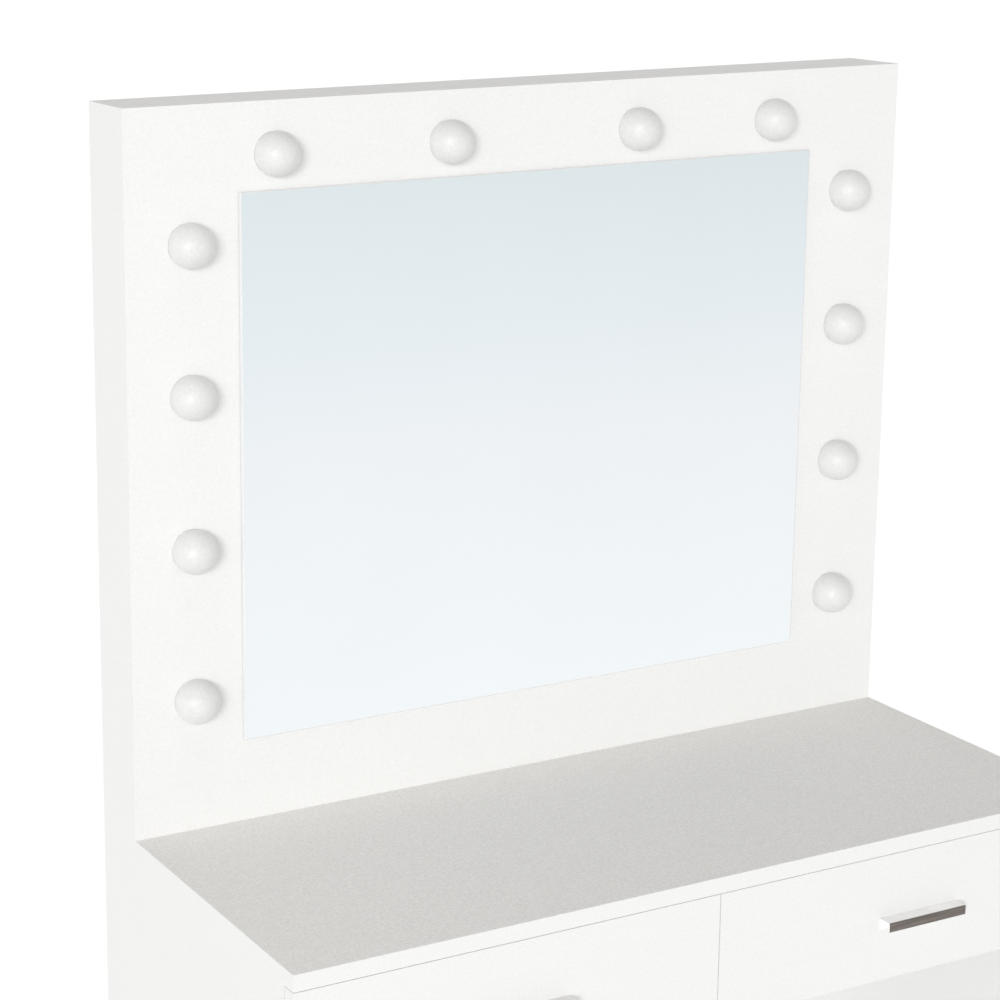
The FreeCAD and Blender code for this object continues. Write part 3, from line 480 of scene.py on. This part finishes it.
def globe_outline(radius, neck_end):
    """The outside of a globe from its front pole to the end of its neck."""
    meet = math.acos(NECK_RADIUS / radius) + math.pi / 2
    points = []
    for step in range(GLOBE_STEPS + 1):
        angle = meet * step / GLOBE_STEPS
        points.append((radius * math.sin(angle), -radius * math.cos(angle)))
    points[0] = (0, -radius)
    points.append((NECK_RADIUS, neck_end))
    return points


def globe(node):
    """An opal globe in place of the CAD one, hollow, with an open neck."""
    low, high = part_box(node)
    radius = (high.z - low.z) / 2
    centre = Vector(((low.x + high.x) / 2, low.y + radius, (low.z + high.z) / 2))
    outside = globe_outline(radius, high.y - centre.y)

    def build(form):
        shrink = (radius - GLOBE_WALL) / radius
        inside = [(max(away - GLOBE_WALL, 0), along * shrink) for away, along in outside[:-1]]
        inside.append((NECK_RADIUS - GLOBE_WALL, high.y - centre.y))
        inside[0] = (0, -(radius - GLOBE_WALL))
        lathe(form, centre, outside + inside[::-1])

    name = node.replace("bulb", "globe")
    piece = mesh_piece(name, body_of(node), build, MATERIALS["opal_glass"])
    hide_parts(node)


def arc(centre, radius, start, end):
    """Points along an arc, in degrees."""
    points = []
    for step in range(FOLD_STEPS + 1):
        angle = math.radians(start + (end - start) * step / FOLD_STEPS)
        points.append((centre[0] + radius * math.cos(angle), centre[1] + radius * math.sin(angle)))
    return points


def pull_outline(low, high):
    """The pull's section across its length: a lip in front, a plate on top and a flange behind."""
    front, back, top = low.y, high.y, high.z
    lip, foot = top - PULL_LIP, low.z
    fold, inner = PULL_FOLD, PULL_INNER
    outline = arc((front + fold, top - fold), fold, 180, 90)
    outline += [(back, top), (back, foot), (back - PULL_WALL, foot)]
    outline += arc((back - PULL_WALL - inner, top - PULL_PLATE - inner), inner, 0, 90)
    outline += arc((front + PULL_WALL + inner, top - PULL_PLATE - inner), inner, 90, 180)
    outline += arc((front + PULL_WALL - inner, lip + inner), inner, 0, -90)
    outline += arc((front + inner, lip + inner), inner, 270, 180)
    return outline


def pull(hand):
    """A folded pull in place of the CAD one, its front lip painted dark as a dark reflection and
    its other faces painted near-white as a bright reflection.
    """
    node = hand + "_handle"
    low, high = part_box(node)
    outline = pull_outline(low, high)

    def build(form):
        ends = []
        for x in (low.x, high.x):
            ends.append([form.verts.new((x, y, z)) for y, z in outline])
        for turn in range(len(outline)):
            after = (turn + 1) % len(outline)
            form.faces.new((ends[0][turn], ends[0][after], ends[1][after], ends[1][turn]))
        form.faces.new(ends[0])
        form.faces.new(ends[1][::-1])

    name = hand + "_pull"
    satin = MATERIALS["handle_top"]
    piece = mesh_piece(name, body_of(node), build, satin, smooth=False)
    piece.data.materials.append(MATERIALS["handle_metal"])
    # The front lip's outer faces take the painted dark reflection, every other face the painted
    # bright one
    for face in piece.data.polygons:
        painted_dark_front = face.center.y < low.y + PULL_FOLD / 2 and face.normal.y < PULL_FRONT_FACING
        face.material_index = 1 if painted_dark_front else 0
    round_edges(piece, PULL_EDGE, PULL_SHARP_EDGE)
    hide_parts(node)


def mirror_pane():
    """The glass with its arrised edge in place of the CAD slab."""
    low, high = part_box("mirror_glass")
    arris = PANE_ARRIS

    def build(form):
        loops = []
        for inset, y in ((0, high.y), (0, low.y + arris), (arris, low.y)):
            corners = ((low.x + inset, low.z + inset), (high.x - inset, low.z + inset),
                       (high.x - inset, high.z - inset), (low.x + inset, high.z - inset))
            loops.append([form.verts.new((x, y, z)) for x, z in corners])
        for near, far in zip(loops, loops[1:]):
            for turn in range(4):
                after = (turn + 1) % 4
                form.faces.new((near[turn], near[after], far[after], far[turn]))
        form.faces.new(loops[0])
        form.faces.new(loops[-1])

    body = body_of("mirror_glass")
    edge = MATERIALS["glass_edge"]
    piece = mesh_piece("mirror_pane", body, build, edge, smooth=False)
    piece.data.materials.append(MATERIALS["mirror"])
    for face in piece.data.polygons:
        face.material_index = 1 if face.normal.y < PANE_FRONT_FACING else 0
    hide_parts("mirror_glass")


# ---------------------------------------------------------------- stage


def soft_light(name, place, aim, size, power, spread=math.pi):
    """A square studio light that faces a point."""
    lamp = bpy.data.lights.new(name, "AREA")
    lamp.size = size
    lamp.energy = power
    lamp.spread = spread
    holder = collection_add(bpy.data.objects.new(name, lamp))
    holder.location = place
    holder.rotation_euler = (Vector(aim) - Vector(place)).to_track_quat("-Z", "Y").to_euler()


def studio_world():
    """A pale room, brightest round the horizon."""
    world = bpy.data.worlds.new("studio")
    bpy.context.scene.world = world
    world.use_nodes = True
    tree = world.node_tree
    place = tree.nodes.new("ShaderNodeTexCoord")
    split = tree.nodes.new("ShaderNodeSeparateXYZ")
    ramp = tree.nodes.new("ShaderNodeValToRGB")
    span = tree.nodes.new("ShaderNodeMapRange")
    span.inputs["From Min"].default_value = -1.0
    while len(ramp.color_ramp.elements) < len(ROOM_TONES):
        ramp.color_ramp.elements.new(1.0)
    for element, (level, tone) in zip(ramp.color_ramp.elements, ROOM_TONES):
        element.position = level
        element.color = (*scaled(WARM if level > WARM_ABOVE else NEUTRAL, tone), 1.0)
    tree.links.new(place.outputs["Generated"], split.inputs["Vector"])
    tree.links.new(split.outputs["Z"], span.inputs["Value"])
    tree.links.new(span.outputs["Result"], ramp.inputs["Fac"])
    tree.links.new(ramp.outputs["Color"], tree.nodes["Background"].inputs["Color"])
    tree.nodes["Background"].inputs["Strength"].default_value = 1.0


def floor():
    """A plain pale floor that glows a little, so that it stays as pale as the room."""
    mesh = bpy.data.meshes.new("floor")
    far = FLOOR_REACH
    corners = [(-far, -far, 0), (far, -far, 0), (far, far, 0), (-far, far, 0)]
    mesh.from_pydata(corners, [], [(0, 1, 2, 3)])
    shader = Shader("pale_floor", 0.7)
    shader.surface.inputs["Emission Color"].default_value = (1.0, 1.0, 1.0, 1.0)
    shader.surface.inputs["Emission Strength"].default_value = FLOOR_GLOW
    shader.surface.inputs["Specular IOR Level"].default_value = 0.1
    dark, light = FLOOR_TONES
    grain = shader.noise(2.0, detail=3.0)
    base = shader.ramp(grain, ((NOISE_LOW, (dark,) * 3), (NOISE_HIGH, (light,) * 3)))
    mesh.materials.append(shader.finish(base))
    piece = collection_add(bpy.data.objects.new("floor", mesh))
    piece.visible_diffuse = False


def camera():
    """The camera, left of the table and above it."""
    foot = Vector((0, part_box("lighted_panel")[0].y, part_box("table_top")[1].z))
    lens = bpy.data.cameras.new("camera")
    lens.lens = CAMERA_LENS
    lens.sensor_width = CAMERA_SENSOR
    lens.shift_x, lens.shift_y = CAMERA_SHIFT
    holder = collection_add(bpy.data.objects.new("camera", lens))
    turn = Matrix.Rotation(CAMERA_YAW, 4, "Z") @ Matrix.Rotation(CAMERA_PITCH, 4, "X")
    turn = turn @ Matrix.Rotation(CAMERA_ROLL, 4, "Y") @ Matrix.Rotation(math.radians(90), 4, "X")
    holder.matrix_world = Matrix.Translation(foot + CAMERA_OFFSET) @ turn
    bpy.context.scene.camera = holder


camera()
dress_nodes()
for bulb in BULBS:
    globe(bulb)
for side in HANDS:
    pull(side)
mirror_pane()
studio_world()
floor()
soft_light("key", KEY_PLACE, KEY_AIM, KEY_SIZE, KEY_POWER)
soft_light(
    "overhead", TOP_LIGHT_PLACE, TOP_LIGHT_AIM, TOP_LIGHT_SIZE, TOP_LIGHT_POWER, TOP_LIGHT_SPREAD
)
bpy.context.scene.view_settings.view_transform = "Standard"
